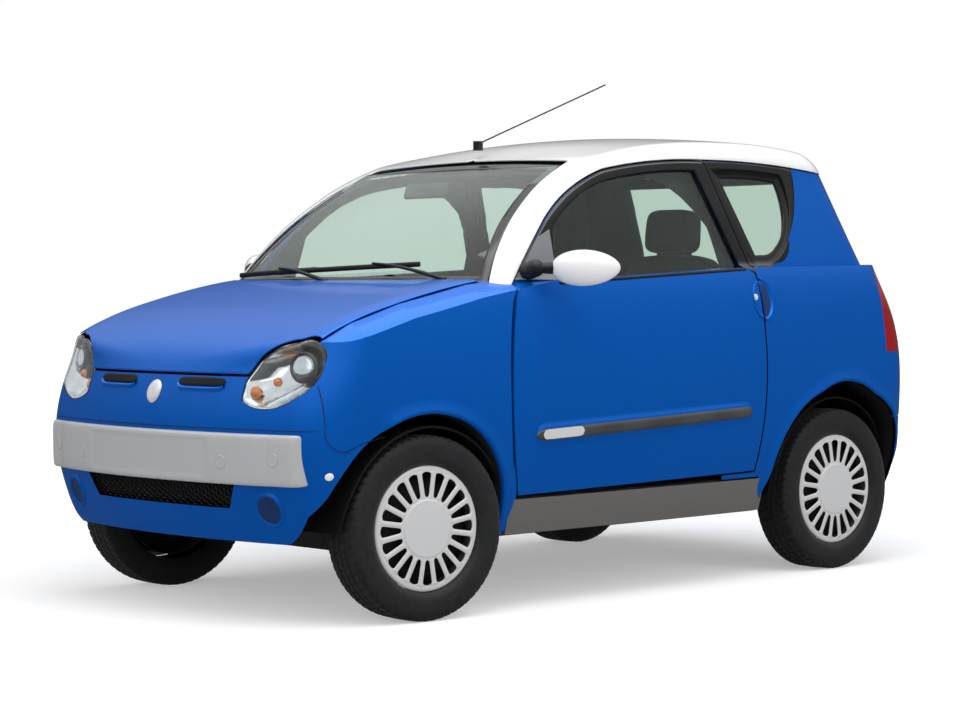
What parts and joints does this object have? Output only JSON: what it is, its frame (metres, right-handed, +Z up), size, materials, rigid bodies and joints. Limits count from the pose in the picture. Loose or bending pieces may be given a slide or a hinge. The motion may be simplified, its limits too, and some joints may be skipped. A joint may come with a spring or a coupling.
{
  "type": "microcar",
  "caption": "Short two-seat microcar with a low nose, round-cornered cab and contrasting roof; doors, bonnet and tailgate open, front wheels steer and all wheels roll.",
  "frame": {"origin": "on the ground under the middle of the car's bounding box", "axes": "+Z up, the front faces -Y, +X is the car's own left side"},
  "size_m": [1.7452, 2.7365, 1.6273],
  "materials": {
    "body_blue": "gloss",
    "roof_white": "gloss",
    "mirror_white": "gloss",
    "black_plastic": "matte",
    "grey_plastic": "satin",
    "silver_cover": "satin",
    "steel": "satin",
    "engine_casting": "matte",
    "clear_glass": "gloss",
    "lamp_clear": "gloss",
    "lamp_red": "gloss",
    "tyre_rubber": "matte",
    "seat_fabric": "matte"
  },
  "bodies": {
    "body": {"front_fascia": "body_blue", "front_bumper": "grey_plastic", "lower_grille": "black_plastic", "wing_left": "body_blue", "wing_right": "body_blue", "sills": "grey_plastic", "quarter_left": "body_blue", "quarter_right": "body_blue", "quarter_glass": "clear_glass", "roof": "roof_white", "windscreen": "clear_glass", "rear_bumper": "body_blue", "headlamps": "lamp_clear", "tail_lamps": "lamp_red", "cowl": "black_plastic", "underbody": "black_plastic", "engine": "engine_casting", "front_axle": "steel", "rear_axle": "steel", "dashboard": "black_plastic", "seats": "seat_fabric", "inside_mirror": "black_plastic", "aerial": "black_plastic"},
    "bonnet": {"bonnet": "body_blue"},
    "door_left": {"door_left": "body_blue", "door_glass_left": "clear_glass", "door_mirror_left": "mirror_white"},
    "door_right": {"door_right": "body_blue", "door_glass_right": "clear_glass", "door_mirror_right": "mirror_white"},
    "tailgate": {"tailgate": "body_blue", "tailgate_glass": "clear_glass"},
    "knuckle_left": {"knuckle_left": "steel"},
    "knuckle_right": {"knuckle_right": "steel"},
    "wheel_front_left": {"rim_front_left": "silver_cover", "tyre_front_left": "tyre_rubber"},
    "wheel_front_right": {"rim_front_right": "silver_cover", "tyre_front_right": "tyre_rubber"},
    "wheel_rear_left": {"rim_rear_left": "silver_cover", "tyre_rear_left": "tyre_rubber"},
    "wheel_rear_right": {"rim_rear_right": "silver_cover", "tyre_rear_right": "tyre_rubber"},
    "steering_wheel": {"steering_wheel": "black_plastic"}
  },
  "joints": [
    {"name": "steer_left", "type": "hinge", "parent": "body", "child": "knuckle_left", "pos_m": [0.598, -0.8505, 0.22], "axis": [0, 0, 1], "range_deg": [-23, 33]},
    {"name": "steer_right", "type": "hinge", "parent": "body", "child": "knuckle_right", "pos_m": [-0.598, -0.8505, 0.22], "axis": [0, 0, 1], "range_deg": [-23, 33]},
    {"name": "steering_wheel_turn", "type": "hinge", "parent": "body", "child": "steering_wheel", "pos_m": [0.285, -0.0665, 0.82], "axis": [0, 0.9136, 0.4067], "range_deg": [-345, 495]},
    {"name": "roll_front_left", "type": "hinge", "parent": "knuckle_left", "child": "wheel_front_left", "pos_m": [0.60796, -0.85137, 0.266], "axis": [0.9962, -0.0872, 0], "continuous": true},
    {"name": "roll_front_right", "type": "hinge", "parent": "knuckle_right", "child": "wheel_front_right", "pos_m": [-0.60796, -0.84963, 0.266], "axis": [0.9962, -0.0872, 0], "continuous": true},
    {"name": "roll_rear_left", "type": "hinge", "parent": "body", "child": "wheel_rear_left", "pos_m": [0.5985, 0.9595, 0.266], "axis": [1, 0, 0], "continuous": true},
    {"name": "roll_rear_right", "type": "hinge", "parent": "body", "child": "wheel_rear_right", "pos_m": [-0.5985, 0.9595, 0.266], "axis": [1, 0, 0], "continuous": true},
    {"name": "door_left_swing", "type": "hinge", "parent": "body", "child": "door_left", "pos_m": [0.688, -0.5055, 0.6], "axis": [0, 0, -1], "range_deg": [0, 65]},
    {"name": "door_right_swing", "type": "hinge", "parent": "body", "child": "door_right", "pos_m": [-0.688, -0.5055, 0.6], "axis": [0, 0, 1], "range_deg": [0, 65]},
    {"name": "bonnet_lift", "type": "hinge", "parent": "body", "child": "bonnet", "pos_m": [0, -0.575, 0.968], "axis": [-1, 0, 0], "range_deg": [0, 50]},
    {"name": "tailgate_lift", "type": "hinge", "parent": "body", "child": "tailgate", "pos_m": [0, 1.098, 1.338], "axis": [1, 0, 0], "range_deg": [0, 80]}
  ],
  "couplings": [
    {"joint": "steer_right", "follows": "steer_left", "ratio": 1},
    {"joint": "steering_wheel_turn", "follows": "steer_left", "ratio": 15}
  ]
}
